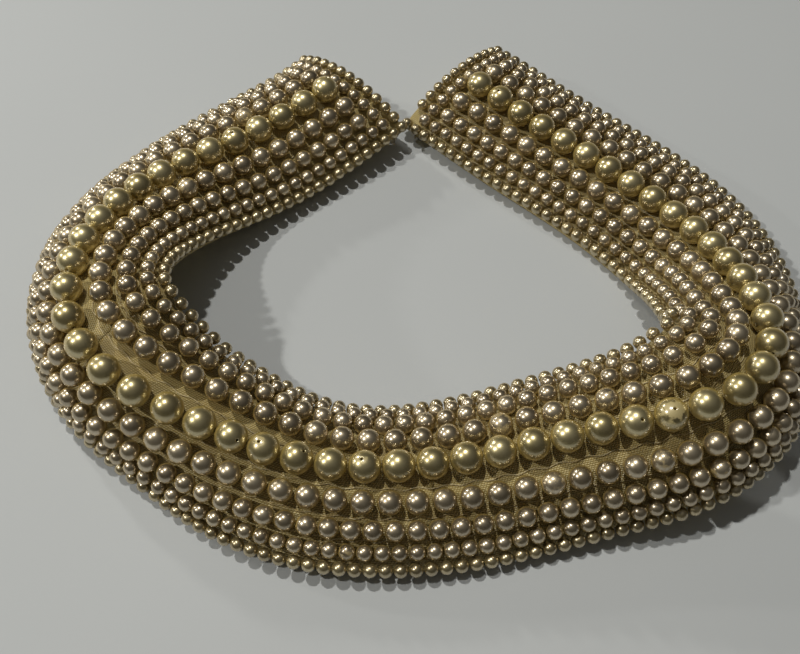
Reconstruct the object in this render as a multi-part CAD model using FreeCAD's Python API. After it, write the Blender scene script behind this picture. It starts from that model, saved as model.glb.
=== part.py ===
import FreeCAD, Part
import math
import os

# Beaded collar: a curved, crowned satin band with nine rows of imitation pearls sewn
# along it, open at the back, with a wire hook under one end and a wire eye under the
# other. It lies on a flat surface. +Z is up, X runs from the left bend to the right
# bend, and the two ends meet at +Y. All dimensions are in millimetres.

Vector = FreeCAD.Vector

# ---- the band's course -------------------------------------------------------------
# Each station: distance along the ridge, ridge X, ridge Y, ridge Z (top of the satin),
# outward lean in degrees, radius of the crown across the band, and how far the main row
# of pearls wanders outward from the ridge.
STATIONS = (
    (0, -17.5, 81, 12.8, 1, 36, 0),
    (16, -28.8, 69.6, 11.6, 0, 36, 0),
    (33, -41, 59, 10.9, -2, 35, 0),
    (65, -65, 38, 13.4, 7, 33, 0),
    (97, -79.5, 9, 19.9, 20, 31, 0),
    (128, -74, -21, 22.9, 31, 25, 0.9),
    (160, -48, -38.5, 16.6, 15, 20, 0.8),
    (192, -18, -48, 10.9, -1, 29, 0.2),
    (224, 14, -47, 10.5, 1, 29, -0.7),
    (256, 45, -41.5, 16.8, 12, 24, -1.2),
    (276, 64, -38, 22.0, 19, 25, -0.9),
    (288, 75, -33.3, 24.2, 24, 26, -0.4),
    (300, 83.5, -25.0, 24.0, 25, 26, 0),
    (312, 88, -14.2, 21.4, 21, 26, 0),
    (324, 88, -2.5, 17.6, 16, 28, 0),
    (350, 83, 22, 9.0, 1, 42, 0),
    (382, 64, 47, 5.4, -1, 80, 0),
    (414, 39, 67, 7.3, -1, 62, 0),
    (430, 26.7, 77.0, 8.8, -2, 50, 0),
    (446, 14.6, 87.3, 10.0, -2, 42, 0),
)
CENTRE = (4.67, 16.87)
FLOOR = -0.04
BAND_LENGTH = 446.0
HALF_WIDTH = 22.9
END_MARGIN = 1.9

# ---- fabric layers (heights are measured down from the top of the satin) -------------
SATIN = 0.4
STIFFENER = 0.5
LINING = 0.4
LAYER_GAP = 0.05
HEM_WIDTH = 7.0
LINING_INSET = 1.6
LOFT_STEP = 5.0

# ---- pearls ------------------------------------------------------------------------
# Rows across the band: distance from the ridge and pearl diameter.
RIDGE_PEARL = 7.9
ROWS_BESIDE = ((7.4, 6.0), (13.2, 5.0))
TURNED_ROWS = ((17.8, 4.0), (21.6, 3.5))
PEARL_LIFT = 0.14
# Where the inner edge is pinched, its crowded pearls ride up off the satin: distance
# along the ridge, reach to each side of it, and height gained at the edge row.
PINCHES = ((97.0, 12.0, 0.06), (137.5, 22.0, 0.3), (281.0, 12.0, 0.2),
           (303.0, 11.0, 0.2), (311.0, 15.0, 2.1))
PINCH_ROW = -12.0
PEARL_PITCH = 1.004
CUT_CLEARANCE = 0.18
RIDGE_START = 9.7
SMALL_START = 9.2
TURN_STEP = 4.1

# ---- couching threads between the rows ------------------------------------------------
THREAD_OFFSETS = (3.6, 10.4, 15.5, 19.75)
THREAD_LIFT = 0.18
THREAD_START = 6.6
THREAD_WIDTH = 0.35
THREAD_HEIGHT = 0.3
# In and after the two bends the innermost threads are pulled out of sight under the pearls.
INNERMOST_THREAD = {"left_bend": -15.5, "right_bend": -3.6, "right_arm": -15.5}

# ---- where the band is divided into the lengths that flex ------------------------------
SEGMENTS = (
    ("left_arm", 0.0, 102.5),
    ("left_bend", 102.5, 158.5),
    ("front", 158.5, 279.0),
    ("right_bend", 279.0, 327.2),
    ("right_arm", 327.2, BAND_LENGTH),
)
SEGMENT_GAP = 0.6

# ---- hook and eye, bent from plated wire and sewn under the inner corners --------------
WIRE = 0.7
FITTING_OFFSET = -19.6
FITTING_SETBACK = 3.0
FITTING_CLEARANCE = 0.4
HOOK_SHANK = 4.2
HOOK_HALF_WIDTH = 0.65
HOOK_NOSE_RADIUS = 0.75
HOOK_BILL_END = 1.8
EYE_SHANK = 3.0
EYE_HALF_WIDTH = 1.5
RING_RADIUS = 1.3
RING_TURN = 290.0
STITCH = 0.3
STITCH_GAP = 0.04
STITCH_RISE = 0.2
STITCH_ANGLES = (30.0, 90.0, 150.0)

# One pearl has come off the edge row beside the right arm's inner corner.
LOST_PEARL = 1

def make_curves():
    distances = [float(row[0]) for row in STATIONS]
    ridge = Part.BSplineCurve()
    origin = Vector(CENTRE[0], CENTRE[1], FLOOR)
    points = [Vector(row[1], row[2], row[3]) - origin for row in STATIONS]
    ridge.interpolate(Points=points, Parameters=distances)
    section = Part.BSplineCurve()
    section.interpolate(Points=[Vector(row[4], row[5], row[6]) for row in STATIONS],
                        Parameters=distances)
    return ridge, section


RIDGE, SECTION = make_curves()


def station_frame(distance):
    """Ridge point, outward direction, surface normal and crown radius at a distance."""
    inside = min(max(distance, 0.0), BAND_LENGTH)
    tangent = Vector(RIDGE.tangent(inside)[0])
    tangent.normalize()
    point = RIDGE.value(inside) + tangent * (distance - inside)
    side = Vector(tangent.y, -tangent.x, 0)
    side.normalize()
    up = side.cross(tangent)
    section = SECTION.value(inside)
    lean = math.radians(section.x)
    outward = side * math.cos(lean) - up * math.sin(lean)
    normal = up * math.cos(lean) + side * math.sin(lean)
    return point, outward, normal, section.y


def band_point(distance, offset, height):
    """A point at a distance along the band, an offset across it and a height above it."""
    point, outward, normal, crown = station_frame(distance)
    angle = offset / crown
    reach = (crown + height) * math.sin(angle)
    drop = crown - (crown + height) * math.cos(angle)
    return point + outward * reach - normal * drop


def across_arc(distance, start, end, height):
    """An arc across the band at one height."""
    middle = (start + end) / 2
    points = [band_point(distance, offset, height) for offset in (start, middle, end)]
    return Part.Arc(*points).toShape()


def closed_section(distance, corners):
    """A closed wire through (offset, height) corners: arcs across, lines up and down."""
    edges = []
    for index, corner in enumerate(corners):
        following = corners[(index + 1) % len(corners)]
        if abs(corner[1] - following[1]) < 1e-9:
            edges.append(across_arc(distance, corner[0], following[0], corner[1]))
        else:
            start = band_point(distance, *corner)
            end = band_point(distance, *following)
            edges.append(Part.makeLine(start, end))
    return Part.Wire(edges)


def loft_band(corners, start, end):
    """A solid whose cross-section follows the band from one distance to another."""
    count = max(3, int(math.ceil((end - start) / LOFT_STEP)))
    stops = [start + (end - start) * index / count for index in range(count + 1)]
    wires = [closed_section(stop, corners) for stop in stops]
    return Part.makeLoft(wires, True, False)


def strip_corners(left, right, bottom, top):
    return ((left, top), (right, top), (right, bottom), (left, bottom))


def fabric_span(start, end):
    """The length of fabric in one segment, short of the next one by the gap."""
    first = -END_MARGIN if start == 0.0 else start + SEGMENT_GAP / 2
    last = BAND_LENGTH + END_MARGIN if end == BAND_LENGTH else end - SEGMENT_GAP / 2
    return first, last


def make_cover(start, end):
    """Satin face, turned round both long edges into a hem underneath."""
    first, last = fabric_span(start, end)
    depth = 2 * SATIN + STIFFENER + 2 * LAYER_GAP
    edge = HALF_WIDTH
    inner = HALF_WIDTH - SATIN
    hem = HALF_WIDTH - HEM_WIDTH
    corners = (
        (-edge, 0.0), (edge, 0.0), (edge, -depth), (hem, -depth),
        (hem, SATIN - depth), (inner, SATIN - depth), (inner, -SATIN),
        (-inner, -SATIN), (-inner, SATIN - depth), (-hem, SATIN - depth),
        (-hem, -depth), (-edge, -depth),
    )
    return loft_band(corners, first, last)


def make_stiffener(start, end):
    """Stiff interlining between the satin face and its hems."""
    first, last = fabric_span(start, end)
    side = HALF_WIDTH - SATIN - LAYER_GAP
    top = -SATIN - LAYER_GAP
    return loft_band(strip_corners(-side, side, top - STIFFENER, top), first, last)


def make_lining(start, end):
    """Lining felled over the hems on the underside."""
    first, last = fabric_span(start, end)
    side = HALF_WIDTH - LINING_INSET
    top = -(2 * SATIN + STIFFENER + 3 * LAYER_GAP)
    return loft_band(strip_corners(-side, side, top - LINING, top), first, last)


def make_threads(name, start, end):
    """Couching threads on the satin between the rows, short of the turned rows."""
    first, last = fabric_span(start, end)
    first = max(first, THREAD_START)
    last = min(last, BAND_LENGTH - THREAD_START)
    half = THREAD_WIDTH / 2
    threads = []
    for offset in THREAD_OFFSETS:
        for side in (-1, 1):
            middle = side * offset
            if middle < INNERMOST_THREAD.get(name, -HALF_WIDTH):
                continue
            corners = strip_corners(middle - half, middle + half, THREAD_LIFT,
                                    THREAD_LIFT + THREAD_HEIGHT)
            threads.append(loft_band(corners, first, last))
    return Part.makeCompound(threads)


def sample_line(path, first, last):
    """Points along a pearl line with the running length at each of them."""
    steps = max(8, int((last - first) / 0.5))
    table = []
    length = 0.0
    before = None
    for index in range(steps + 1):
        distance = first + (last - first) * index / steps
        point = path(distance)
        if before is not None:
            length += (point - before).Length
        table.append((length, distance, point))
        before = point
    return table


def point_at(table, length):
    """The point of a sampled line at a running length."""
    for index in range(1, len(table)):
        if table[index][0] >= length:
            low = table[index - 1]
            high = table[index]
            share = (length - low[0]) / max(high[0] - low[0], 1e-9)
            return low[2] + (high[2] - low[2]) * share
    return table[-1][2]


def string_pearls(path, first, last, diameter, keep_first, keep_last):
    """Pearl centres evenly spaced along a line, clear of the cuts between segments."""
    table = sample_line(path, first, last)
    length = table[-1][0]
    head = 0.0 if keep_first else diameter / 2 + CUT_CLEARANCE
    tail = 0.0 if keep_last else diameter / 2 + CUT_CLEARANCE
    room = length - head - tail
    count = int(room / (diameter * PEARL_PITCH))
    return [point_at(table, head + room * index / count) for index in range(count + 1)]


def pinch_lift(distance, offset):
    """How far a row's pearls ride up where the inner edge is pinched."""
    if offset > PINCH_ROW:
        return 0.0
    share = (PINCH_ROW - offset) / (PINCH_ROW + TURNED_ROWS[-1][0])
    lift = 0.0
    for middle, reach, height in PINCHES:
        near = abs(distance - middle) / reach
        if near < 1.0:
            lift = max(lift, height * (1 + math.cos(math.pi * near)) / 2)
    return lift * min(share, 1.0)


def row_path(offset, diameter):
    def path(distance):
        height = diameter / 2 + PEARL_LIFT + pinch_lift(distance, offset)
        return band_point(distance, offset, height)

    return path


def ridge_path(distance):
    height = RIDGE_PEARL / 2 + PEARL_LIFT
    inside = min(max(distance, 0.0), BAND_LENGTH)
    return band_point(distance, SECTION.value(inside).z, height)


def row_centres(path, start, end, diameter, setback):
    """Centres of one row inside one segment."""
    at_left_end = start == 0.0
    at_right_end = end == BAND_LENGTH
    first = setback if at_left_end else start
    last = BAND_LENGTH - setback if at_right_end else end
    return string_pearls(path, first, last, diameter, at_left_end, at_right_end)


def turn_centres(offset, diameter, start, end, setback):
    """Centres of a row's turn across the open end of an arm."""
    at_left_end = start == 0.0
    distance = setback if at_left_end else BAND_LENGTH - setback
    height = diameter / 2 + PEARL_LIFT
    span = sample_line(lambda value: band_point(distance, value, height), -offset, offset)
    count = int(span[-1][0] / (diameter * PEARL_PITCH))
    length = span[-1][0]
    indices = list(range(1, count))
    if diameter == TURNED_ROWS[-1][1] and not at_left_end:
        indices.remove(LOST_PEARL)
    return [point_at(span, length * index / count) for index in indices]


def pearl_group(centres, diameter):
    spheres = [Part.makeSphere(diameter / 2, centre) for centre in centres]
    return Part.makeCompound(spheres)


def make_ridge_pearls(start, end):
    centres = row_centres(ridge_path, start, end, RIDGE_PEARL, RIDGE_START)
    return pearl_group(centres, RIDGE_PEARL)


def make_side_pearls(offset, diameter, start, end):
    """One row on each side of the ridge."""
    centres = []
    for side in (-1, 1):
        path = row_path(side * offset, diameter)
        centres += row_centres(path, start, end, diameter, SMALL_START)
    return pearl_group(centres, diameter)


def make_turned_pearls(index, start, end):
    """A row along both edges that turns across the open end of an arm."""
    offset, diameter = TURNED_ROWS[index]
    setback = TURN_STEP * (len(TURNED_ROWS) - 1 - index)
    centres = []
    for side in (-1, 1):
        path = row_path(side * offset, diameter)
        centres += row_centres(path, start, end, diameter, setback)
    if start == 0.0 or end == BAND_LENGTH:
        centres += turn_centres(offset, diameter, start, end, setback)
    return pearl_group(centres, diameter)


def fitting_frame(distance, forward_sign):
    """A place on the lining: a function from (forward, across, down) to a point."""
    point, outward, normal, crown = station_frame(distance)
    angle = FITTING_OFFSET / crown
    across = outward * math.cos(angle) - normal * math.sin(angle)
    down = (outward * math.sin(angle) + normal * math.cos(angle)) * -1
    forward = down.cross(across) * forward_sign
    tangent = Vector(RIDGE.tangent(min(max(distance, 0.0), BAND_LENGTH))[0])
    if forward.dot(tangent) * forward_sign < 0:
        forward = forward * -1
    depth = 2 * SATIN + STIFFENER + 3 * LAYER_GAP + LINING
    origin = band_point(distance, FITTING_OFFSET, -depth)
    drop = FITTING_CLEARANCE + WIRE / 2
    return lambda x, y, z: origin + forward * x + across * y + down * (z + drop)


def sweep(edges, radius):
    """A round wire or thread along a run of edges."""
    path = Part.Wire(edges)
    first = edges[0]
    start = first.valueAt(first.FirstParameter)
    circle = Part.Circle(start, first.tangentAt(first.FirstParameter), radius)
    profile = Part.Wire([circle.toShape()])
    return path.makePipeShell([profile], True, False)


def arc_through(place, first, middle, last):
    return Part.Arc(place(*first), place(*middle), place(*last)).toShape()


def ring_arc(place, shank, side, reverse):
    """The sewing ring that a shank ends in, as one arc beside the shank."""
    centre = shank + RING_RADIUS

    def at(turned):
        angle = math.radians(-90.0 - turned)
        x = RING_RADIUS * math.cos(angle)
        y = side * (centre + RING_RADIUS * math.sin(angle))
        return x, y, 0.0

    stops = [at(0.0), at(RING_TURN / 2), at(RING_TURN)]
    if reverse:
        stops.reverse()
    return arc_through(place, *stops)


def make_hook(place):
    """Hook: two rings, two shanks, and a bill folded back under the shanks."""
    half = HOOK_HALF_WIDTH
    nose = HOOK_NOSE_RADIUS
    low = 2 * nose
    edges = [ring_arc(place, half, -1, True)]
    edges.append(Part.makeLine(place(0, -half, 0), place(HOOK_SHANK, -half, 0)))
    edges.append(arc_through(place, (HOOK_SHANK, -half, 0),
                             (HOOK_SHANK + nose, -half, nose), (HOOK_SHANK, -half, low)))
    edges.append(Part.makeLine(place(HOOK_SHANK, -half, low),
                               place(HOOK_BILL_END, -half, low)))
    edges.append(arc_through(place, (HOOK_BILL_END, -half, low),
                             (HOOK_BILL_END - half, 0, low), (HOOK_BILL_END, half, low)))
    edges.append(Part.makeLine(place(HOOK_BILL_END, half, low),
                               place(HOOK_SHANK, half, low)))
    edges.append(arc_through(place, (HOOK_SHANK, half, low),
                             (HOOK_SHANK + nose, half, nose), (HOOK_SHANK, half, 0)))
    edges.append(Part.makeLine(place(HOOK_SHANK, half, 0), place(0, half, 0)))
    edges.append(ring_arc(place, half, 1, False))
    return sweep(edges, WIRE / 2)


def make_eye(place):
    """Eye: two rings joined by a flat loop."""
    half = EYE_HALF_WIDTH
    edges = [ring_arc(place, half, -1, True)]
    edges.append(Part.makeLine(place(0, -half, 0), place(EYE_SHANK, -half, 0)))
    edges.append(arc_through(place, (EYE_SHANK, -half, 0), (EYE_SHANK + half, 0, 0),
                             (EYE_SHANK, half, 0)))
    edges.append(Part.makeLine(place(EYE_SHANK, half, 0), place(0, half, 0)))
    edges.append(ring_arc(place, half, 1, False))
    return sweep(edges, WIRE / 2)


def make_stitches(place, shank):
    """Thread loops that hold both rings to the lining."""
    reach = (WIRE + STITCH) / 2 + STITCH_GAP
    top = STITCH / 2 + STITCH_RISE - FITTING_CLEARANCE - WIRE / 2
    loops = []
    for side in (-1, 1):
        for degrees in STITCH_ANGLES:
            angle = math.radians(degrees)
            radial = (math.cos(angle), side * math.sin(angle))
            centre = (0.0, side * (shank + RING_RADIUS))

            def at(radius, z):
                x = centre[0] + radial[0] * radius
                y = centre[1] + radial[1] * radius
                return place(x, y, z)

            inner = RING_RADIUS - reach
            outer = RING_RADIUS + reach
            edges = [Part.makeLine(at(inner, top), at(inner, 0))]
            edges.append(Part.Arc(at(inner, 0), at(RING_RADIUS, reach),
                                  at(outer, 0)).toShape())
            edges.append(Part.makeLine(at(outer, 0), at(outer, top)))
            loops.append(sweep(edges, STITCH / 2))
    return Part.makeCompound(loops)


def write(name, shape):
    shape.exportStep("parts/" + name + ".step")


def make_segment(name, start, end):
    write("cover_" + name, make_cover(start, end))
    write("stiffener_" + name, make_stiffener(start, end))
    write("lining_" + name, make_lining(start, end))
    write("couching_threads_" + name, make_threads(name, start, end))
    write("pearls_8mm_" + name, make_ridge_pearls(start, end))
    for offset, diameter in ROWS_BESIDE:
        pearls = make_side_pearls(offset, diameter, start, end)
        write("pearls_%dmm_%s" % (diameter, name), pearls)
    write("pearls_4mm_" + name, make_turned_pearls(0, start, end))
    write("pearls_edge_" + name, make_turned_pearls(1, start, end))


def make_fastening():
    """Hook under the right end, eye under the left end, each with its stitches."""
    right = fitting_frame(BAND_LENGTH - FITTING_SETBACK, 1)
    left = fitting_frame(FITTING_SETBACK, -1)
    write("hook", make_hook(right))
    write("hook_stitches", make_stitches(right, HOOK_HALF_WIDTH))
    write("eye", make_eye(left))
    write("eye_stitches", make_stitches(left, EYE_HALF_WIDTH))


def main():
    os.makedirs("parts", exist_ok=True)
    for name, start, end in SEGMENTS:
        make_segment(name, start, end)
    make_fastening()


main()
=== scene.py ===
import math
import random

import bmesh
import bpy
import numpy as np
from mathutils import Matrix, Vector


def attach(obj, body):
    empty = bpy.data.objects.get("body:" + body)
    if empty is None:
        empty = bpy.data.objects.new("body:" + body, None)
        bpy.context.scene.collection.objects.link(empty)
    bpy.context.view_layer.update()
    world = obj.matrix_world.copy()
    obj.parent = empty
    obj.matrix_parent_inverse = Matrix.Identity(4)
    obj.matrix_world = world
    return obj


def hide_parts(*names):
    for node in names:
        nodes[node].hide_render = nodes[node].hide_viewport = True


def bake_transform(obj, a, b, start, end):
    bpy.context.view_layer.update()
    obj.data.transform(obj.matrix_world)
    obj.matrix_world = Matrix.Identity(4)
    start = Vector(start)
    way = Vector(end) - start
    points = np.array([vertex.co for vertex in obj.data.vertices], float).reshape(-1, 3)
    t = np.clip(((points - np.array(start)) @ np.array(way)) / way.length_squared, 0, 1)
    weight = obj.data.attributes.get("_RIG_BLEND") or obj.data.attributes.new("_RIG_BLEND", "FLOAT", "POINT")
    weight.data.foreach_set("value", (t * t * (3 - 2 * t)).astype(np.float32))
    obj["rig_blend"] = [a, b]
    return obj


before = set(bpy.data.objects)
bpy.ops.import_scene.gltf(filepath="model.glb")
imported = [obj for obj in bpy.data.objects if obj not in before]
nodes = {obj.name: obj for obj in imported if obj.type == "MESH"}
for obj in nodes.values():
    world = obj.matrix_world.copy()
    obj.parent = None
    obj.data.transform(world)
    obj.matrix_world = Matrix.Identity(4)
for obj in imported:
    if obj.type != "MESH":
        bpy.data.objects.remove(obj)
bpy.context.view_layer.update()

scene = bpy.context.scene
scene.view_settings.view_transform = "Standard"
MM = 0.001
SEGMENT_NAMES = ("left_arm", "left_bend", "front", "right_bend", "right_arm")


# ---- the table top and the light ------------------------------------------------------
# The collar lies on a plain pale board. One small lamp hangs nearly overhead, three more
# stand to its left at different heights, and the room around is dim.
aim = Vector((-4.67, -16.87, 0.04)) * MM
elevation = math.radians(56.396)
roll = math.radians(1.767)
forward = Vector((0, math.cos(elevation), -math.sin(elevation)))
level = Vector((1, 0, 0))
upright = level.cross(forward)
right = level * math.cos(roll) + upright * math.sin(roll)
top = upright * math.cos(roll) - level * math.sin(roll)
lens = bpy.data.cameras.new("camera")
lens.lens = 44.19
lens.clip_start = 0.01
camera = bpy.data.objects.new("camera", lens)
camera.matrix_world = Matrix((right, top, -forward)).transposed().to_4x4()
camera.location = aim - forward * 266.1 * MM
scene.collection.objects.link(camera)
scene.camera = camera


def new_nodes(name):
    """A material, its node tree and its Principled shader."""
    material = bpy.data.materials.new(name)
    material.use_nodes = True
    tree = material.node_tree
    shader = tree.nodes["Principled BSDF"]
    return material, tree, shader


def board_material():
    material, tree, shader = new_nodes("pale_board")
    place = tree.nodes.new("ShaderNodeTexCoord")
    cloud = tree.nodes.new("ShaderNodeTexNoise")
    cloud.inputs["Scale"].default_value = 5.0
    cloud.inputs["Detail"].default_value = 4.0
    tint = tree.nodes.new("ShaderNodeValToRGB")
    tint.color_ramp.elements[0].position = 0.3
    tint.color_ramp.elements[0].color = (0.552, 0.568, 0.555, 1)
    tint.color_ramp.elements[1].position = 0.7
    tint.color_ramp.elements[1].color = (0.580, 0.596, 0.583, 1)
    grain = tree.nodes.new("ShaderNodeTexNoise")
    grain.inputs["Scale"].default_value = 900.0
    bump = tree.nodes.new("ShaderNodeBump")
    bump.inputs["Strength"].default_value = 0.05
    bump.inputs["Distance"].default_value = 0.0002
    tree.links.new(place.outputs["Object"], cloud.inputs["Vector"])
    tree.links.new(place.outputs["Object"], grain.inputs["Vector"])
    tree.links.new(cloud.outputs["Fac"], tint.inputs["Fac"])
    tree.links.new(tint.outputs["Color"], shader.inputs["Base Color"])
    tree.links.new(grain.outputs["Fac"], bump.inputs["Height"])
    tree.links.new(bump.outputs["Normal"], shader.inputs["Normal"])
    shader.inputs["Roughness"].default_value = 0.62
    shader.inputs["Specular IOR Level"].default_value = 0.25
    return material


mesh = bpy.data.meshes.new("board")
shape = bmesh.new()
bmesh.ops.create_grid(shape, x_segments=2, y_segments=2, size=1.6)
shape.to_mesh(mesh)
shape.free()
board = bpy.data.objects.new("board", mesh)
scene.collection.objects.link(board)
mesh.materials.append(board_material())


def lamp(name, toward, distance, size, power, colour):
    """A square lamp that hangs in one direction from the collar and faces it."""
    data = bpy.data.lights.new(name, "AREA")
    data.shape = "SQUARE"
    data.size = size
    data.energy = power
    data.color = colour
    thing = bpy.data.objects.new(name, data)
    direction = Vector(toward).normalized()
    thing.location = direction * distance
    thing.rotation_euler = direction.to_track_quat("Z", "Y").to_euler()
    scene.collection.objects.link(thing)


WHITE = (1.0, 0.99, 0.965)
lamp("lamp_overhead", (-0.19, 0.22, 0.96), 1.5, 0.055, 8.0, WHITE)
lamp("lamp_side", (-0.66, -0.10, 0.74), 1.5, 0.055, 6.3, WHITE)
lamp("lamp_back", (-0.62, 0.66, 0.42), 1.5, 0.075, 3.4, WHITE)
lamp("lamp_low", (-0.90, 0.31, 0.30), 1.5, 0.055, 2.4, WHITE)

world = bpy.data.worlds.new("room")
scene.world = world
world.use_nodes = True
tree = world.node_tree
place = tree.nodes.new("ShaderNodeTexCoord")
height = tree.nodes.new("ShaderNodeSeparateXYZ")
walls = tree.nodes.new("ShaderNodeValToRGB")
walls.color_ramp.elements[0].position = 0.0
walls.color_ramp.elements[0].color = (0.03, 0.028, 0.025, 1)
walls.color_ramp.elements[1].position = 1.0
walls.color_ramp.elements[1].color = (0.12, 0.12, 0.118, 1)
middle = walls.color_ramp.elements.new(0.55)
middle.color = (0.04, 0.038, 0.036, 1)
tree.links.new(place.outputs["Generated"], height.inputs["Vector"])
tree.links.new(height.outputs["Z"], walls.inputs["Fac"])
tree.links.new(walls.outputs["Color"], tree.nodes["Background"].inputs["Color"])
tree.nodes["Background"].inputs["Strength"].default_value = 1.0


# ---- the satin cover -------------------------------------------------------------------
# A strip of pale yellow satin, cut on the straight, laid over stiff net along the collar's
# course and turned under along both edges and both ends. It bends where the band flexes.

# The band's course, in millimetres: distance along the ridge, the ridge's place, outward
# lean in degrees, radius of the crown across it, and how far the main row wanders.
STATIONS = np.array((
    (0, -17.5, 81, 12.8, 1, 36, 0),
    (16, -28.8, 69.6, 11.6, 0, 36, 0),
    (33, -41, 59, 10.9, -2, 35, 0),
    (65, -65, 38, 13.4, 7, 33, 0),
    (97, -79.5, 9, 19.9, 20, 31, 0),
    (128, -74, -21, 22.9, 31, 25, 0.9),
    (160, -48, -38.5, 16.6, 15, 20, 0.8),
    (192, -18, -48, 10.9, -1, 29, 0.2),
    (224, 14, -47, 10.5, 1, 29, -0.7),
    (256, 45, -41.5, 16.8, 12, 24, -1.2),
    (276, 64, -38, 22.0, 19, 25, -0.9),
    (288, 75, -33.3, 24.2, 24, 26, -0.4),
    (300, 83.5, -25.0, 24.0, 25, 26, 0),
    (312, 88, -14.2, 21.4, 21, 26, 0),
    (324, 88, -2.5, 17.6, 16, 28, 0),
    (350, 83, 22, 9.0, 1, 42, 0),
    (382, 64, 47, 5.4, -1, 80, 0),
    (414, 39, 67, 7.3, -1, 62, 0),
    (430, 26.7, 77.0, 8.8, -2, 50, 0),
    (446, 14.6, 87.3, 10.0, -2, 42, 0),
), float)
CENTRE = np.array((4.67, 16.87, -0.04))
BAND_LENGTH = 446.0


def end_slope(stops, values, at):
    """Slope at one end of the smooth curve through the four points nearest to it."""
    slope = 0.0
    for i in range(4):
        total = 0.0
        for j in range(4):
            if j == i:
                continue
            part = 1.0 / (stops[i] - stops[j])
            for k in range(4):
                if k not in (i, j):
                    part *= (at - stops[k]) / (stops[i] - stops[k])
            total += part
        slope = slope + total * values[i]
    return slope


def slopes_through(stops, values):
    """Slopes at every station of the smooth curve that passes through them all."""
    count = len(stops)
    gap = np.diff(stops)
    matrix = np.zeros((count, count))
    wanted = np.zeros((count, values.shape[1]))
    matrix[0, 0] = matrix[-1, -1] = 1.0
    wanted[0] = end_slope(stops[:4], values[:4], stops[0])
    wanted[-1] = end_slope(stops[-4:], values[-4:], stops[-1])
    for i in range(1, count - 1):
        matrix[i, i - 1 : i + 2] = (1 / gap[i - 1], 2 / gap[i - 1] + 2 / gap[i], 1 / gap[i])
        before = (values[i] - values[i - 1]) / gap[i - 1] ** 2
        after = (values[i + 1] - values[i]) / gap[i] ** 2
        wanted[i] = 3 * (before + after)
    return np.linalg.solve(matrix, wanted)


STOPS = STATIONS[:, 0]
COURSE = np.hstack([STATIONS[:, 1:4] - CENTRE, STATIONS[:, 4:7]])
COURSE_SLOPES = slopes_through(STOPS, COURSE)


def course_at(distance, slope=False):
    """The course's six values, or how fast they change, at distances along the ridge."""
    i = np.clip(np.searchsorted(STOPS, distance) - 1, 0, len(STOPS) - 2)
    gap = (STOPS[i + 1] - STOPS[i])[:, None]
    u = (distance - STOPS[i])[:, None] / gap
    start, end = COURSE[i], COURSE[i + 1]
    leave, arrive = COURSE_SLOPES[i] * gap, COURSE_SLOPES[i + 1] * gap
    if slope:
        return ((6 * u**2 - 6 * u) * (start - end) + (3 * u**2 - 4 * u + 1) * leave
                + (3 * u**2 - 2 * u) * arrive) / gap
    return ((2 * u**3 - 3 * u**2 + 1) * start + (u**3 - 2 * u**2 + u) * leave
            + (3 * u**2 - 2 * u**3) * end + (u**3 - u**2) * arrive)


def band_frame(distance):
    """Ridge point, direction along, outward direction, normal, crown and wander."""
    distance = np.atleast_1d(np.asarray(distance, float))
    inside = np.clip(distance, 0.0, BAND_LENGTH)
    along = course_at(inside, slope=True)[:, :3]
    along /= np.linalg.norm(along, axis=1)[:, None]
    values = course_at(inside)
    point = values[:, :3] + along * (distance - inside)[:, None]
    side = np.stack([along[:, 1], -along[:, 0], 0 * along[:, 0]], 1)
    side /= np.linalg.norm(side, axis=1)[:, None]
    up = np.cross(side, along)
    lean = np.radians(values[:, 3])[:, None]
    outward = side * np.cos(lean) - up * np.sin(lean)
    normal = up * np.cos(lean) + side * np.sin(lean)
    return point, along, outward, normal, values[:, 4], values[:, 5]


def band_place(distance, offset, rise):
    """Places on the band, in millimetres, and the surface's normals there."""
    point, along, outward, normal, crown, wander = band_frame(distance)
    angle = offset / crown
    reach = (crown + rise) * np.sin(angle)
    drop = crown - (crown + rise) * np.cos(angle)
    place = point + outward * reach[:, None] - normal * drop[:, None]
    facing = normal * np.cos(angle)[:, None] + outward * np.sin(angle)[:, None]
    return place, facing


def turned_under(flat, edge, turn):
    """Where cloth lies that is turned under past an edge: its reach and its rise."""
    past = np.abs(flat) - edge
    bend = np.clip(past, 0, math.pi * turn) / turn
    reach = edge + turn * np.sin(bend) - np.maximum(past - math.pi * turn, 0)
    reach = np.where(past > 0, reach, np.abs(flat))
    rise = np.where(past > 0, turn * np.cos(bend) - turn, 0.0)
    return np.sign(flat) * reach, rise


# Each layer of cloth is four lengths that meet in the middle of a stiff part, so that
# each of them crosses one bending place.
LENGTHS = (
    ("left_end", -1.9, 130.5, 102.5, "left_arm", "left_bend"),
    ("left_front", 130.5, 218.75, 158.5, "left_bend", "front"),
    ("right_front", 218.75, 303.1, 279.0, "front", "right_bend"),
    ("right_end", 303.1, 447.9, 327.2, "right_bend", "right_arm"),
)
FLEX_REACH = 8.0


def bend_with_band(piece, cut, before, after):
    """The piece bends where the band flexes, along a short stretch each side of it."""
    ends, _ = band_place(np.array([cut - FLEX_REACH, cut + FLEX_REACH]), np.zeros(2), np.zeros(2))
    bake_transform(piece, before, after, start=tuple(ends[0] * MM), end=tuple(ends[1] * MM))


def show(name, shape, *materials):
    """Closes a bmesh into a new object in the scene."""
    mesh = bpy.data.meshes.new(name)
    shape.to_mesh(mesh)
    shape.free()
    mesh.polygons.foreach_set("use_smooth", [True] * len(mesh.polygons))
    for material in materials:
        mesh.materials.append(material)
    piece = bpy.data.objects.new(name, mesh)
    scene.collection.objects.link(piece)
    return piece


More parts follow.
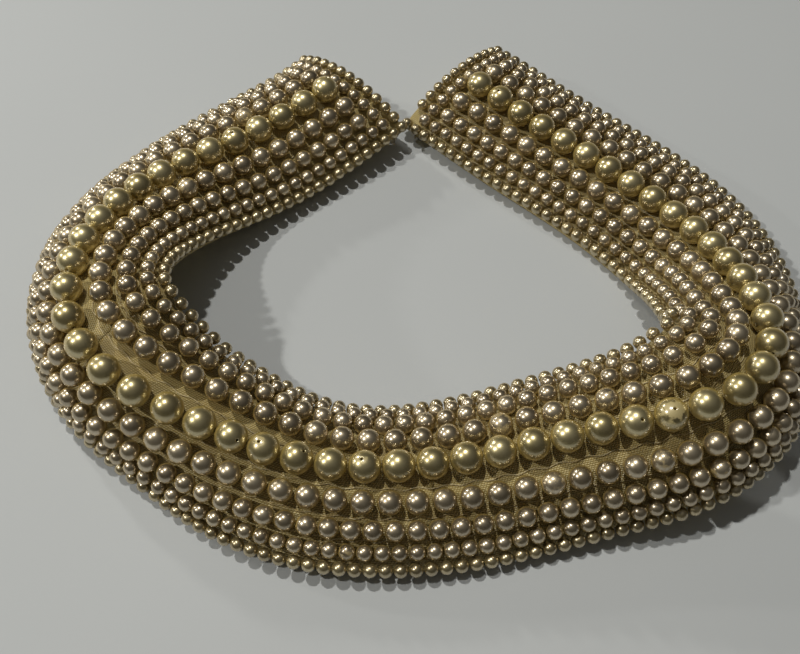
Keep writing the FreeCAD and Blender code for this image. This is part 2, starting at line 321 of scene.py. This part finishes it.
def cloth_length(name, first, last, width, laid, step_along, step_across):
    """A flat strip of cloth, laid on the band by a function of its flat coordinates."""
    shape = bmesh.new()
    bmesh.ops.create_grid(shape, x_segments=max(2, round((last - first) / step_along)),
                          y_segments=max(2, round(width / step_across)), size=0.5,
                          calc_uvs=False)
    weave = shape.loops.layers.uv.new("cloth")
    flat = np.array([v.co[:2] for v in shape.verts], float)
    flat[:, 0] = first + (flat[:, 0] + 0.5) * (last - first)
    flat[:, 1] *= width
    for v, (s, t) in zip(shape.verts, flat):
        v.co = (s, t, 0)
    for face in shape.faces:
        for loop in face.loops:
            loop[weave].uv = loop.vert.co.xy * MM
    places = laid(flat[:, 0], flat[:, 1]) * MM
    for v, place in zip(shape.verts, places):
        v.co = place
    bmesh.ops.reverse_faces(shape, faces=shape.faces)
    return shape


def soft_noise(x, y, seed):
    """A slow, smooth unevenness of cloth, from -1 to 1."""
    pick = np.random.RandomState(seed)
    total = 0.0
    for k in range(7):
        fx, fy = pick.uniform(-0.55, 0.55), pick.uniform(-0.9, 0.9)
        total = total + np.sin(fx * x + fy * y + pick.uniform(0, 6.28))
    return total / 4.0


SATIN_EDGE = 22.2
SATIN_TURN = 0.5
SATIN_HEM = 6.3
SATIN_CUT = 2 * (SATIN_EDGE + math.pi * SATIN_TURN + SATIN_HEM)
END_EDGE = BAND_LENGTH / 2 + 1.2


def laid_satin(s, t):
    offset, fall = turned_under(t, SATIN_EDGE, SATIN_TURN)
    along, end_fall = turned_under(s - BAND_LENGTH / 2, END_EDGE, SATIN_TURN)
    flat = (fall > -0.05) & (end_fall > -0.05)
    calm = flat * np.clip((SATIN_EDGE - np.abs(t)) / 3, 0, 1)
    pucker = 0.05 * soft_noise(s * 0.6, t * 0.6, 4) * calm
    rise = -0.2 + fall + end_fall * np.where(fall < -0.05, 0.25, 1.0) - 0.05 + pucker
    return band_place(along + BAND_LENGTH / 2, offset, rise)[0]


def weave_group():
    """Threads of a cloth: how light and how high it is at a place on its own map."""
    group = bpy.data.node_groups.new("cloth_weave", "ShaderNodeTree")
    for socket, kind in (("Map", "Vector"), ("Threads per metre", "Float"), ("Float", "Float")):
        group.interface.new_socket(socket, in_out="INPUT", socket_type="NodeSocket" + kind)
    for socket in ("Height", "Shade"):
        group.interface.new_socket(socket, in_out="OUTPUT", socket_type="NodeSocketFloat")
    into = group.nodes.new("NodeGroupInput")
    out = group.nodes.new("NodeGroupOutput")
    split = group.nodes.new("ShaderNodeSeparateXYZ")
    group.links.new(into.outputs["Map"], split.inputs["Vector"])

    def maths(operation, a, b=None):
        node = group.nodes.new("ShaderNodeMath")
        node.operation = operation
        for socket, value in zip(node.inputs, (a, b)):
            if value is None:
                continue
            if isinstance(value, float):
                socket.default_value = value
            else:
                group.links.new(value, socket)
        return node.outputs["Value"]

    turn = maths("MULTIPLY", into.outputs["Threads per metre"], math.pi)
    x = maths("MULTIPLY", split.outputs["X"], turn)
    y = maths("MULTIPLY", split.outputs["Y"], turn)
    warp = maths("ABSOLUTE", maths("SINE", y))
    # the long floats of satin: each warp thread dips once in a few picks, one step along
    # from its neighbour
    step = maths("MULTIPLY", y, 0.4)
    dip = maths("SINE", maths("ADD", maths("MULTIPLY", x, into.outputs["Float"]), step))
    dip = maths("POWER", maths("ABSOLUTE", dip), 0.5)
    body = maths("MULTIPLY", warp, dip)
    slub = group.nodes.new("ShaderNodeTexNoise")
    slub.inputs["Scale"].default_value = 260.0
    slub.inputs["Detail"].default_value = 3.0
    stretch = group.nodes.new("ShaderNodeMapping")
    stretch.inputs["Scale"].default_value = (1.0, 3.0, 1.0)
    group.links.new(into.outputs["Map"], stretch.inputs["Vector"])
    group.links.new(stretch.outputs["Vector"], slub.inputs["Vector"])
    uneven = maths("ADD", maths("MULTIPLY", slub.outputs["Fac"], 0.6), 0.7)
    group.links.new(maths("MULTIPLY", body, uneven), out.inputs["Height"])
    streak = maths("MULTIPLY", slub.outputs["Fac"], 0.25)
    group.links.new(maths("ADD", maths("MULTIPLY", body, 0.75), streak), out.inputs["Shade"])
    return group


WEAVE = weave_group()


def cloth_material(name, dark, light, stain, threads, floats, roughness, sheen, relief):
    """Woven cloth on its own flat map, with slubs and blotches of age."""
    material, tree, shader = new_nodes(name)
    uv = tree.nodes.new("ShaderNodeUVMap")
    uv.uv_map = "cloth"
    weave = tree.nodes.new("ShaderNodeGroup")
    weave.node_tree = WEAVE
    weave.inputs["Threads per metre"].default_value = threads
    weave.inputs["Float"].default_value = floats
    tree.links.new(uv.outputs["UV"], weave.inputs["Map"])
    ramp = tree.nodes.new("ShaderNodeValToRGB")
    ramp.color_ramp.elements[0].position = 0.25
    ramp.color_ramp.elements[0].color = dark
    ramp.color_ramp.elements[1].position = 0.85
    ramp.color_ramp.elements[1].color = light
    tree.links.new(weave.outputs["Shade"], ramp.inputs["Fac"])
    place = tree.nodes.new("ShaderNodeTexCoord")
    age = tree.nodes.new("ShaderNodeTexNoise")
    age.inputs["Scale"].default_value = 70.0
    age.inputs["Detail"].default_value = 5.0
    tree.links.new(place.outputs["Object"], age.inputs["Vector"])
    where = tree.nodes.new("ShaderNodeMapRange")
    where.inputs["From Min"].default_value = 0.45
    where.inputs["From Max"].default_value = 0.75
    where.inputs["To Max"].default_value = 0.6
    tree.links.new(age.outputs["Fac"], where.inputs["Value"])
    mix = tree.nodes.new("ShaderNodeMix")
    mix.data_type = "RGBA"
    mix.inputs["B"].default_value = stain
    tree.links.new(where.outputs["Result"], mix.inputs["Factor"])
    tree.links.new(ramp.outputs["Color"], mix.inputs["A"])
    tree.links.new(mix.outputs["Result"], shader.inputs["Base Color"])
    bump = tree.nodes.new("ShaderNodeBump")
    bump.inputs["Strength"].default_value = relief
    bump.inputs["Distance"].default_value = 0.00012
    tree.links.new(weave.outputs["Height"], bump.inputs["Height"])
    tree.links.new(bump.outputs["Normal"], shader.inputs["Normal"])
    shader.inputs["Roughness"].default_value = roughness
    shader.inputs["Sheen Weight"].default_value = sheen
    shader.inputs["Sheen Roughness"].default_value = 0.4
    shader.inputs["Sheen Tint"].default_value = (1.0, 0.9, 0.62, 1)
    return material


SATIN_CLOTH = cloth_material("satin_cloth", (0.32, 0.22, 0.055, 1), (0.72, 0.60, 0.28, 1),
                             (0.36, 0.24, 0.06, 1), 2100.0, 0.7, 0.34, 0.2, 1.0)


def stiffen(piece, thickness):
    """Gives a laid cloth its thickness, half of it to each side."""
    wall = piece.modifiers.new("thickness", "SOLIDIFY")
    wall.thickness = thickness * MM
    wall.offset = 0.0
    with bpy.context.temp_override(object=piece, active_object=piece, selected_objects=[piece]):
        bpy.ops.object.modifier_apply(modifier=wall.name)


def nodes_of(kind, *segments):
    return [kind + "_" + segment for segment in segments]


STANDS_FOR = {"left_end": ("left_arm", "left_bend"), "left_front": ("front",),
              "right_front": ("right_bend",), "right_end": ("right_arm",)}

for name, first, last, cut, before, after in LENGTHS:
    turn_in = math.pi * SATIN_TURN + 4.3
    start = first - (turn_in if first < 0 else 0)
    stop = last + (turn_in if last > BAND_LENGTH else 0)
    shape = cloth_length("satin_" + name, start, stop, SATIN_CUT, laid_satin, 1.1, 0.55)
    piece = show("satin_" + name, shape, SATIN_CLOTH)
    stiffen(piece, 0.36)
    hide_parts(*nodes_of("cover", *STANDS_FOR[name]))
    bend_with_band(piece, cut, before, after)


# ---- the stiffening net ------------------------------------------------------------------
# A strip of coarse stiffened cotton net lies between the satin and its turned hems. It
# gives the band its crown and springs back after each bend.
def laid_flat(rise):
    return lambda s, t: band_place(s, t, np.full(len(s), rise))[0]


NET_CLOTH = cloth_material("stiff_net", (0.34, 0.29, 0.18, 1), (0.74, 0.69, 0.52, 1),
                           (0.50, 0.40, 0.22, 1), 900.0, 1.0, 0.9, 0.1, 1.0)
NET_CUT = 44.6
for name, first, last, cut, before, after in LENGTHS:
    shape = cloth_length("net_" + name, first + (0.9 if first < 0 else 0),
                         last - (0.9 if last > BAND_LENGTH else 0), NET_CUT,
                         laid_flat(-0.75), 2.0, 1.5)
    piece = show("net_" + name, shape, NET_CLOTH)
    stiffen(piece, 0.40)
    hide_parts(*nodes_of("stiffener", *STANDS_FOR[name]))
    bend_with_band(piece, cut, before, after)


# ---- the lining ----------------------------------------------------------------------------
# Plain-woven cream cloth, felled over the satin's hems on the underside. It stops a little
# short of the edge all round and sags slightly between its rows of stitches.
LINING_CUT = 42.6


def laid_lining(s, t):
    sag = 0.05 * soft_noise(s, t, 9) * np.clip((21.3 - np.abs(t)) / 4, 0, 1)
    return band_place(s, t, -1.66 + sag)[0]


LINING_CLOTH = cloth_material("lining_cloth", (0.46, 0.36, 0.16, 1), (0.76, 0.67, 0.42, 1),
                              (0.50, 0.36, 0.14, 1), 1700.0, 1.0, 0.8, 0.15, 0.9)
for name, first, last, cut, before, after in LENGTHS:
    shape = cloth_length("lining_" + name, first + (1.1 if first < 0 else 0),
                         last - (1.1 if last > BAND_LENGTH else 0), LINING_CUT,
                         laid_lining, 1.8, 1.2)
    piece = show("lining_" + name, shape, LINING_CLOTH)
    stiffen(piece, 0.34)
    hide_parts(*nodes_of("lining", *STANDS_FOR[name]))
    bend_with_band(piece, cut, before, after)


# ---- threads -------------------------------------------------------------------------------
# Yellow two-ply silk. It couches the pearl strings down in wavering lines between the rows,
# runs through the drilled pearls, and fells the lining to the hems underneath.
def thread_material():
    material, tree, shader = new_nodes("silk_thread")
    place = tree.nodes.new("ShaderNodeTexCoord")
    change = tree.nodes.new("ShaderNodeTexNoise")
    change.inputs["Scale"].default_value = 240.0
    ramp = tree.nodes.new("ShaderNodeValToRGB")
    ramp.color_ramp.elements[0].position = 0.3
    ramp.color_ramp.elements[0].color = (0.48, 0.35, 0.13, 1)
    ramp.color_ramp.elements[1].position = 0.7
    ramp.color_ramp.elements[1].color = (0.80, 0.68, 0.40, 1)
    fibre = tree.nodes.new("ShaderNodeTexWave")
    fibre.inputs["Scale"].default_value = 1500.0
    fibre.inputs["Distortion"].default_value = 3.0
    bump = tree.nodes.new("ShaderNodeBump")
    bump.inputs["Strength"].default_value = 0.4
    bump.inputs["Distance"].default_value = 0.00004
    tree.links.new(place.outputs["Object"], change.inputs["Vector"])
    tree.links.new(place.outputs["Object"], fibre.inputs["Vector"])
    tree.links.new(change.outputs["Fac"], ramp.inputs["Fac"])
    tree.links.new(ramp.outputs["Color"], shader.inputs["Base Color"])
    tree.links.new(fibre.outputs["Fac"], bump.inputs["Height"])
    tree.links.new(bump.outputs["Normal"], shader.inputs["Normal"])
    shader.inputs["Roughness"].default_value = 0.42
    shader.inputs["Sheen Weight"].default_value = 0.4
    shader.inputs["Sheen Tint"].default_value = (1.0, 0.86, 0.5, 1)
    return material


SILK = thread_material()


def spun(name, lines, radius, sides):
    """Thread drawn along smooth lines, made into one mesh."""
    line_data = bpy.data.curves.new(name, "CURVE")
    line_data.dimensions = "3D"
    line_data.bevel_depth = radius * MM
    line_data.bevel_resolution = sides
    line_data.use_fill_caps = True
    for line in lines:
        spline = line_data.splines.new("NURBS")
        spline.points.add(len(line) - 1)
        spline.points.foreach_set("co", np.hstack([line * MM, np.ones((len(line), 1))]).ravel())
        spline.order_u = 3
        spline.use_endpoint_u = True
        spline.resolution_u = 1
    drawn = bpy.data.objects.new(name + "_line", line_data)
    scene.collection.objects.link(drawn)
    bpy.context.view_layer.update()
    finished = drawn.evaluated_get(bpy.context.evaluated_depsgraph_get())
    mesh = bpy.data.meshes.new_from_object(finished)
    bpy.data.objects.remove(drawn)
    mesh.name = name
    mesh.materials.clear()
    mesh.materials.append(SILK)
    mesh.polygons.foreach_set("use_smooth", [True] * len(mesh.polygons))
    piece = bpy.data.objects.new(name, mesh)
    scene.collection.objects.link(piece)
    return piece


def two_ply(s, t, rise, lay, twist):
    """Both plies of a thread that follows the band at offsets and rises."""
    middle, facing = band_place(s, t, rise)
    along = np.gradient(middle, axis=0)
    along /= np.linalg.norm(along, axis=1)[:, None]
    side = np.cross(facing, along)
    plies = []
    for phase in (0.0, math.pi):
        angle = (s * 2 * math.pi / twist + phase)[:, None]
        plies.append(middle + lay * (side * np.cos(angle) + facing * np.sin(angle)))
    return plies


COUCHED = (3.6, 10.4, 15.5, 19.75)
BARE_END = 6.8
for name, first, last, cut, before, after in LENGTHS:
    lines = []
    for k, row in enumerate(COUCHED):
        for side in (-1, 1):
            s = np.arange(max(first, BARE_END), min(last, BAND_LENGTH - BARE_END), 0.42)
            sway = 0.32 * np.sin(s * 2 * math.pi / (6.6 - k) + side + k)
            rise = 0.26 + 0.1 * np.sin(s * 1.3 + k)
            lines += two_ply(s, side * row + sway, rise, 0.085, 1.7)
    piece = spun("couching_threads_" + name + "_look", lines, 0.095, 0)
    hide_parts(*nodes_of("couching_threads", *STANDS_FOR[name]))
    bend_with_band(piece, cut, before, after)

for name, first, last, cut, before, after in LENGTHS:
    lines = []
    pick = random.Random(31)
    for side in (-1, 1):
        s = max(first, 0.0)
        while s < min(last, BAND_LENGTH) - 2.6:
            lean = pick.uniform(0.9, 1.4)
            stops = np.array([s, s, s + lean / 2, s + lean, s + lean])
            across = side * np.array([20.7, 20.9, 21.45, 21.95, 22.0])
            rise = np.array([-1.75, -1.98, -2.02, -1.72, -1.5])
            lines.append(band_place(stops, across, rise)[0])
            s += pick.uniform(2.2, 2.8)
    piece = spun("felling_stitches_" + name, lines, 0.12, 0)
    bend_with_band(piece, cut, before, after)


# ---- the pearls ----------------------------------------------------------------------------
# Moulded beads dipped in pearl essence and lacquered over a dark metallic core. Their amber
# rim is a painted sheen, mixed in by facing angle, that stands for a clear yellowed skin.
# They are drilled, a little uneven, and worn at the holes.
def pearl_centres(node, diameter):
    """Centre of each pearl in a packed group, in millimetres: every facet faces away from it."""
    mesh = nodes[node].data
    count = len(mesh.polygons)
    middle = np.zeros(count * 3, np.float32)
    facing = np.zeros(count * 3, np.float32)
    mesh.polygons.foreach_get("center", middle)
    mesh.polygons.foreach_get("normal", facing)
    guess = middle.reshape(-1, 3) / MM - facing.reshape(-1, 3) * diameter / 2
    centres = []
    while len(guess):
        near = np.linalg.norm(guess - guess[0], axis=1) < 1.0
        around = np.median(guess[near], axis=0)
        near = near | (np.linalg.norm(guess - around, axis=1) < 1.0)
        if near.sum() > 60:
            centres.append(guess[near].mean(axis=0))
        guess = guess[~near]
    return np.array(centres, float)


lookup_s, lookup_t = [g.ravel() for g in np.meshgrid(np.arange(-1, BAND_LENGTH + 2, 1.0),
                                                     np.arange(-22.5, 22.6, 0.9))]
lookup_places, lookup_facing = band_place(lookup_s, lookup_t, np.full(len(lookup_s), 2.2))
lookup_ahead = band_place(lookup_s + 0.5, lookup_t, np.full(len(lookup_s), 2.2))[0] - lookup_places
lookup_ahead /= np.linalg.norm(lookup_ahead, axis=1)[:, None]


def pearl_shape(around, rings, hole):
    """One pearl of radius 1, drilled along Z, with the edge of its holes turned in."""
    shape = bmesh.new()
    bmesh.ops.create_uvsphere(shape, u_segments=around, v_segments=rings, radius=1.0)
    poles = [v for v in shape.verts if abs(v.co.z) > 0.9999]
    if hole:
        bmesh.ops.delete(shape, geom=poles, context="VERTS")
        for reach, level in ((hole, math.sqrt(1 - hole * hole)), (hole * 0.8, 0.90),
                             (hole * 0.75, 0.6)):
            rim = [e for e in shape.edges if e.is_boundary]
            made = bmesh.ops.extrude_edge_only(shape, edges=rim)
            for v in made["geom"]:
                if isinstance(v, bmesh.types.BMVert):
                    flat = v.co.xy.normalized() * reach
                    v.co = (flat.x, flat.y, math.copysign(level, v.co.z))
    else:
        for v in poles:
            v.co.z *= 0.9
    bmesh.ops.recalc_face_normals(shape, faces=shape.faces)
    mesh = bpy.data.meshes.new("pearl_shape")
    shape.to_mesh(mesh)
    shape.free()
    return mesh


def nacre_group():
    """Colour, roughness and dents of a lacquered pearl, from its own tint and wear."""
    group = bpy.data.node_groups.new("pearl_essence", "ShaderNodeTree")
    for socket, kind in (("Deep", "Color"), ("Pale", "Color"), ("Bare", "Color"), ("Tint", "Float"),
                         ("Wear", "Float"), ("Hole", "Float")):
        group.interface.new_socket(socket, in_out="INPUT", socket_type="NodeSocket" + kind)
    for socket, kind in (("Color", "Color"), ("Roughness", "Float"), ("Metallic", "Float"),
                         ("Height", "Float")):
        group.interface.new_socket(socket, in_out="OUTPUT", socket_type="NodeSocket" + kind)
    into = group.nodes.new("NodeGroupInput")
    out = group.nodes.new("NodeGroupOutput")
    link = group.links.new
    place = group.nodes.new("ShaderNodeTexCoord")
    swirl = group.nodes.new("ShaderNodeTexNoise")
    swirl.inputs["Scale"].default_value = 330.0
    swirl.inputs["Detail"].default_value = 4.0
    swirl.inputs["Distortion"].default_value = 0.6
    link(place.outputs["Object"], swirl.inputs["Vector"])
    shade = group.nodes.new("ShaderNodeMath")
    shade.operation = "MULTIPLY_ADD"
    shade.inputs[1].default_value = 0.45
    link(swirl.outputs["Fac"], shade.inputs[0])
    link(into.outputs["Tint"], shade.inputs[2])
    shade.use_clamp = True
    body = group.nodes.new("ShaderNodeMix")
    body.data_type = "RGBA"
    link(shade.outputs["Value"], body.inputs["Factor"])
    link(into.outputs["Deep"], body.inputs["A"])
    link(into.outputs["Pale"], body.inputs["B"])
    pits = group.nodes.new("ShaderNodeTexNoise")
    pits.inputs["Scale"].default_value = 620.0
    pits.inputs["Detail"].default_value = 6.0
    pits.inputs["Roughness"].default_value = 0.7
    link(place.outputs["Object"], pits.inputs["Vector"])
    near = group.nodes.new("ShaderNodeMath")
    near.operation = "MULTIPLY_ADD"
    near.inputs[1].default_value = 0.35
    link(into.outputs["Hole"], near.inputs[0])
    link(into.outputs["Wear"], near.inputs[2])
    sum_up = group.nodes.new("ShaderNodeMath")
    sum_up.operation = "ADD"
    link(near.outputs["Value"], sum_up.inputs[0])
    link(pits.outputs["Fac"], sum_up.inputs[1])
    flake = group.nodes.new("ShaderNodeMapRange")
    flake.inputs["From Min"].default_value = 0.93
    flake.inputs["From Max"].default_value = 1.02
    link(sum_up.outputs["Value"], flake.inputs["Value"])
    colour = group.nodes.new("ShaderNodeMix")
    colour.data_type = "RGBA"
    link(flake.outputs["Result"], colour.inputs["Factor"])
    link(body.outputs["Result"], colour.inputs["A"])
    link(into.outputs["Bare"], colour.inputs["B"])
    link(colour.outputs["Result"], out.inputs["Color"])
    for socket, low, high in (("Roughness", 0.35, 0.5), ("Metallic", 0.88, 0.1)):
        span = group.nodes.new("ShaderNodeMapRange")
        span.inputs["To Min"].default_value = low
        span.inputs["To Max"].default_value = high
        link(flake.outputs["Result"], span.inputs["Value"])
        link(span.outputs["Result"], out.inputs[socket])
    dent = group.nodes.new("ShaderNodeMath")
    dent.operation = "MULTIPLY_ADD"
    dent.inputs[1].default_value = -0.6
    link(flake.outputs["Result"], dent.inputs[0])
    link(swirl.outputs["Fac"], dent.inputs[2])
    link(dent.outputs["Value"], out.inputs["Height"])
    return group


NACRE = nacre_group()


def pearl_material(name, deep, pale, bare, rim_sheen, rim_sheen_from):
    """Pearl lacquer: a dark metallic core seen face on, and at the rim a painted amber sheen for the clear
    yellowed skin.
    """
    material, tree, shader = new_nodes(name)
    nacre = tree.nodes.new("ShaderNodeGroup")
    nacre.node_tree = NACRE
    nacre.inputs["Deep"].default_value = deep
    nacre.inputs["Pale"].default_value = pale
    nacre.inputs["Bare"].default_value = bare
    for layer in ("Tint", "Wear", "Hole"):
        own = tree.nodes.new("ShaderNodeAttribute")
        own.attribute_name = layer.lower()
        tree.links.new(own.outputs["Fac"], nacre.inputs[layer])
    # painted sheen: by facing angle, an amber rim colour is mixed into the base colour and the metallic core
    # fades there
    facing = tree.nodes.new("ShaderNodeLayerWeight")
    facing.inputs["Blend"].default_value = 0.5
    rim = tree.nodes.new("ShaderNodeMapRange")
    rim.interpolation_type = "SMOOTHSTEP"
    rim.inputs["From Min"].default_value = rim_sheen_from
    rim.inputs["From Max"].default_value = rim_sheen_from + 0.42
    tree.links.new(facing.outputs["Facing"], rim.inputs["Value"])
    sheen_mixed = tree.nodes.new("ShaderNodeMix")
    sheen_mixed.data_type = "RGBA"
    sheen_mixed.inputs["B"].default_value = rim_sheen
    tree.links.new(rim.outputs["Result"], sheen_mixed.inputs["Factor"])
    tree.links.new(nacre.outputs["Color"], sheen_mixed.inputs["A"])
    tree.links.new(sheen_mixed.outputs["Result"], shader.inputs["Base Color"])
    core = tree.nodes.new("ShaderNodeMath")
    core.operation = "MULTIPLY_ADD"
    core.use_clamp = True
    core.inputs[1].default_value = -0.55
    tree.links.new(rim.outputs["Result"], core.inputs[0])
    tree.links.new(nacre.outputs["Metallic"], core.inputs[2])
    tree.links.new(core.outputs["Value"], shader.inputs["Metallic"])
    tree.links.new(nacre.outputs["Roughness"], shader.inputs["Roughness"])
    bump = tree.nodes.new("ShaderNodeBump")
    bump.inputs["Strength"].default_value = 0.12
    bump.inputs["Distance"].default_value = 0.0001
    tree.links.new(nacre.outputs["Height"], bump.inputs["Height"])
    tree.links.new(bump.outputs["Normal"], shader.inputs["Normal"])
    shader.inputs["Coat Weight"].default_value = 1.0
    shader.inputs["Coat Roughness"].default_value = 0.19
    shader.inputs["Coat IOR"].default_value = 2.15
    return material


CHAMPAGNE = pearl_material("champagne_pearl", (0.23, 0.17, 0.085, 1), (0.66, 0.55, 0.36, 1),
                           (0.50, 0.38, 0.17, 1), (0.54, 0.36, 0.08, 1), 0.36)
CREAM = pearl_material("cream_pearl", (0.33, 0.255, 0.085, 1), (0.70, 0.595, 0.30, 1),
                       (0.62, 0.50, 0.22, 1), (0.56, 0.41, 0.11, 1), 0.26)
GOLDEN = pearl_material("golden_edge_pearl", (0.26, 0.195, 0.08, 1), (0.60, 0.49, 0.26, 1),
                        (0.44, 0.32, 0.12, 1), (0.44, 0.31, 0.09, 1), 0.38)

# Packed group, diameter in millimetres, facets round and along, hole as a share of the
# radius, material, slot, row offset, and unevenness of size, place and tint. The smallest
# beads' holes are too fine to show.
PEARL_GROUPS = (
    ("pearls_8mm", 7.9, (28, 20), 0.10, CREAM, "pearl_large", 0.0, (0.0, 0.14, 0.6)),
    ("pearls_6mm", 6.0, (14, 10), 0, CHAMPAGNE, "pearl_medium", 7.4, (0.02, 0.10, 0.6)),
    ("pearls_5mm", 5.0, (12, 9), 0, CHAMPAGNE, "pearl_medium", 13.2, (0.02, 0.06, 0.6)),
    ("pearls_4mm", 4.0, (12, 8), 0, CHAMPAGNE, "pearl_small", 17.8, (0.02, 0.04, 0.6)),
    ("pearls_edge", 3.5, (11, 8), 0, GOLDEN, "pearl_edge", 21.6, (0.05, 0.03, 0.6)),
)
for kind, diameter, facets, hole, material, slot, row, uneven in PEARL_GROUPS:
    one = pearl_shape(*facets, hole)
    size = len(one.vertices)
    for segment in SEGMENT_NAMES:
        pick = random.Random(kind + segment)
        centres = pearl_centres(kind + "_" + segment, diameter)
        shape = bmesh.new()
        for centre in centres:
            nearest = np.linalg.norm(lookup_places - centre, axis=1).argmin()
            s, t = lookup_s[nearest], lookup_t[nearest]
            facing = Vector(lookup_facing[nearest])
            ahead = Vector(lookup_ahead[nearest])
            turned = kind in ("pearls_4mm", "pearls_edge") and abs(abs(t) - row) > 1.6
            along = facing.cross(ahead) if turned else ahead
            across = facing.cross(along).normalized()
            facing = along.cross(across).normalized()
            grow = diameter / 2 * (1 - pick.uniform(0, 1) * uneven[0])
            tilt = Matrix.Rotation(pick.gauss(0, 0.13), 4, "X")
            tilt = tilt @ Matrix.Rotation(pick.gauss(0, 0.13), 4, "Y")
            # a few of the main pearls lie with a hole turned up
            if kind == "pearls_8mm" and pick.random() < 0.14:
                tilt = Matrix.Rotation(pick.uniform(1.2, 1.9), 4, "X") @ tilt
            oval = Matrix.Diagonal((grow * pick.uniform(0.985, 1.015),
                                    grow * pick.uniform(0.985, 1.01),
                                    grow * pick.uniform(0.985, 1.01), 1))
            axes = Matrix((across, facing, along)).transposed().to_4x4()
            spot = Vector(centre) + across * pick.uniform(-1, 1) * uneven[1]
            place = Matrix.Scale(MM, 4) @ Matrix.Translation(spot) @ axes @ tilt @ oval
            before = len(shape.verts)
            shape.from_mesh(one)
            layers = shape.verts.layers.float
            tint_layer = layers.get("tint") or layers.new("tint")
            wear_layer = layers.get("wear") or layers.new("wear")
            hole_layer = layers.get("hole") or layers.new("hole")
            shape.verts.ensure_lookup_table()
            tint = min(1.0, max(0.0, 0.35 + uneven[2] * pick.uniform(-0.5, 0.5)))
            wear = 0.22 * pick.random() + (0.22 if pick.random() < 0.06 else 0.0)
            for k in range(before, before + size):
                v = shape.verts[k]
                v[tint_layer] = tint
                v[wear_layer] = wear
                v[hole_layer] = max(0.0, (abs(v.co.z) - 0.8) / 0.2)
                v.co = place @ v.co
        piece = show(kind + "_" + segment + "_look", shape, material)
        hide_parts(kind + "_" + segment)
        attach(piece, segment)


# ---- the hook and the eye --------------------------------------------------------------------
# Bent from plated wire and sewn under the inner corners of the ends, hook on the right and
# eye on the left, with a few loops of thread through their rings.
def wire_material():
    material, tree, shader = new_nodes("plated_wire")
    place = tree.nodes.new("ShaderNodeTexCoord")
    tarnish = tree.nodes.new("ShaderNodeTexNoise")
    tarnish.inputs["Scale"].default_value = 700.0
    tarnish.inputs["Detail"].default_value = 5.0
    ramp = tree.nodes.new("ShaderNodeValToRGB")
    ramp.color_ramp.elements[0].position = 0.35
    ramp.color_ramp.elements[0].color = (0.34, 0.30, 0.24, 1)
    ramp.color_ramp.elements[1].position = 0.6
    ramp.color_ramp.elements[1].color = (0.78, 0.77, 0.74, 1)
    rough = tree.nodes.new("ShaderNodeMapRange")
    rough.inputs["To Min"].default_value = 0.45
    rough.inputs["To Max"].default_value = 0.15
    bump = tree.nodes.new("ShaderNodeBump")
    bump.inputs["Strength"].default_value = 0.1
    bump.inputs["Distance"].default_value = 0.00003
    tree.links.new(place.outputs["Object"], tarnish.inputs["Vector"])
    tree.links.new(tarnish.outputs["Fac"], ramp.inputs["Fac"])
    tree.links.new(ramp.outputs["Color"], shader.inputs["Base Color"])
    tree.links.new(tarnish.outputs["Fac"], rough.inputs["Value"])
    tree.links.new(rough.outputs["Result"], shader.inputs["Roughness"])
    tree.links.new(tarnish.outputs["Fac"], bump.inputs["Height"])
    tree.links.new(bump.outputs["Normal"], shader.inputs["Normal"])
    shader.inputs["Metallic"].default_value = 1.0
    return material


WIRE = wire_material()
for name, material, slot in (("hook", WIRE, "wire"), ("eye", WIRE, "wire"),
                             ("hook_stitches", SILK, "thread"), ("eye_stitches", SILK, "thread")):
    nodes[name].data.materials.clear()
    nodes[name].data.materials.append(material)
    nodes[name].data.polygons.foreach_set("use_smooth", [True] * len(nodes[name].data.polygons))
